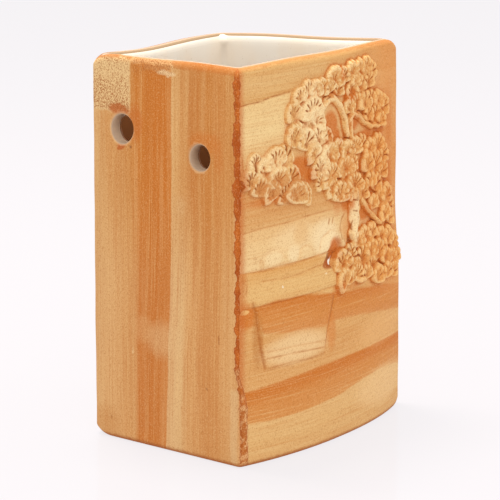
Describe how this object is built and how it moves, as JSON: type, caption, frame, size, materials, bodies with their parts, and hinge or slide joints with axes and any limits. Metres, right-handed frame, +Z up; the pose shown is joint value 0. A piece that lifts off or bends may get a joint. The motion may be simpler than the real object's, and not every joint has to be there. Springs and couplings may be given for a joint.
{
  "type": "ceramic wall pot",
  "caption": "Open-topped slab-built ceramic pot with a bowed front, hanging holes in one flank, a cream glaze lining and a sprigged bonsai pine relief.",
  "frame": {"origin": "bottom centre of the pot's box, on the surface that it stands on", "axes": "+Z up, -Y out of the relief front, -X towards the flank with the two hanging holes"},
  "size_m": [0.1212, 0.0862, 0.15],
  "materials": {
    "stained_clay": "matte earthenware with brushed orange-brown oxide stain over a tan base, fine dark speckle",
    "rust_clay": "matte rust-brown oxide pooled along the ragged corner seam",
    "relief_clay": "matte pale clay on the high points, orange-brown stain pooled in the grooves",
    "bare_clay": "unstained matte pinkish-beige fired clay",
    "cream_glaze": "glossy cream-white glaze with slight pooling in the corners"
  },
  "bodies": {
    "root": {"front_slab": "stained_clay", "left_slab": "stained_clay", "right_slab": "stained_clay", "back_slab": "stained_clay", "floor_slab": "bare_clay", "seam_front_left": "rust_clay", "seam_front_right": "stained_clay", "seam_back_right": "stained_clay", "seam_back_left": "stained_clay", "glaze_lining": "cream_glaze", "foliage_top_left": "relief_clay", "foliage_top_right": "relief_clay", "foliage_right_upper": "relief_clay", "foliage_left_upper": "relief_clay", "foliage_left_lower": "relief_clay", "foliage_centre": "relief_clay", "foliage_right_middle": "relief_clay", "foliage_right_lower": "relief_clay", "foliage_foot_left": "relief_clay", "foliage_foot_middle": "relief_clay", "foliage_foot_right": "relief_clay", "pine_trunk": "relief_clay", "branch_left_arch": "relief_clay", "branch_right_arch": "relief_clay", "branch_lower_right": "relief_clay", "moss_left": "relief_clay", "moss_middle": "relief_clay", "moss_right": "relief_clay", "planter_rim": "stained_clay", "planter_body": "stained_clay"}
  },
  "joints": []
}
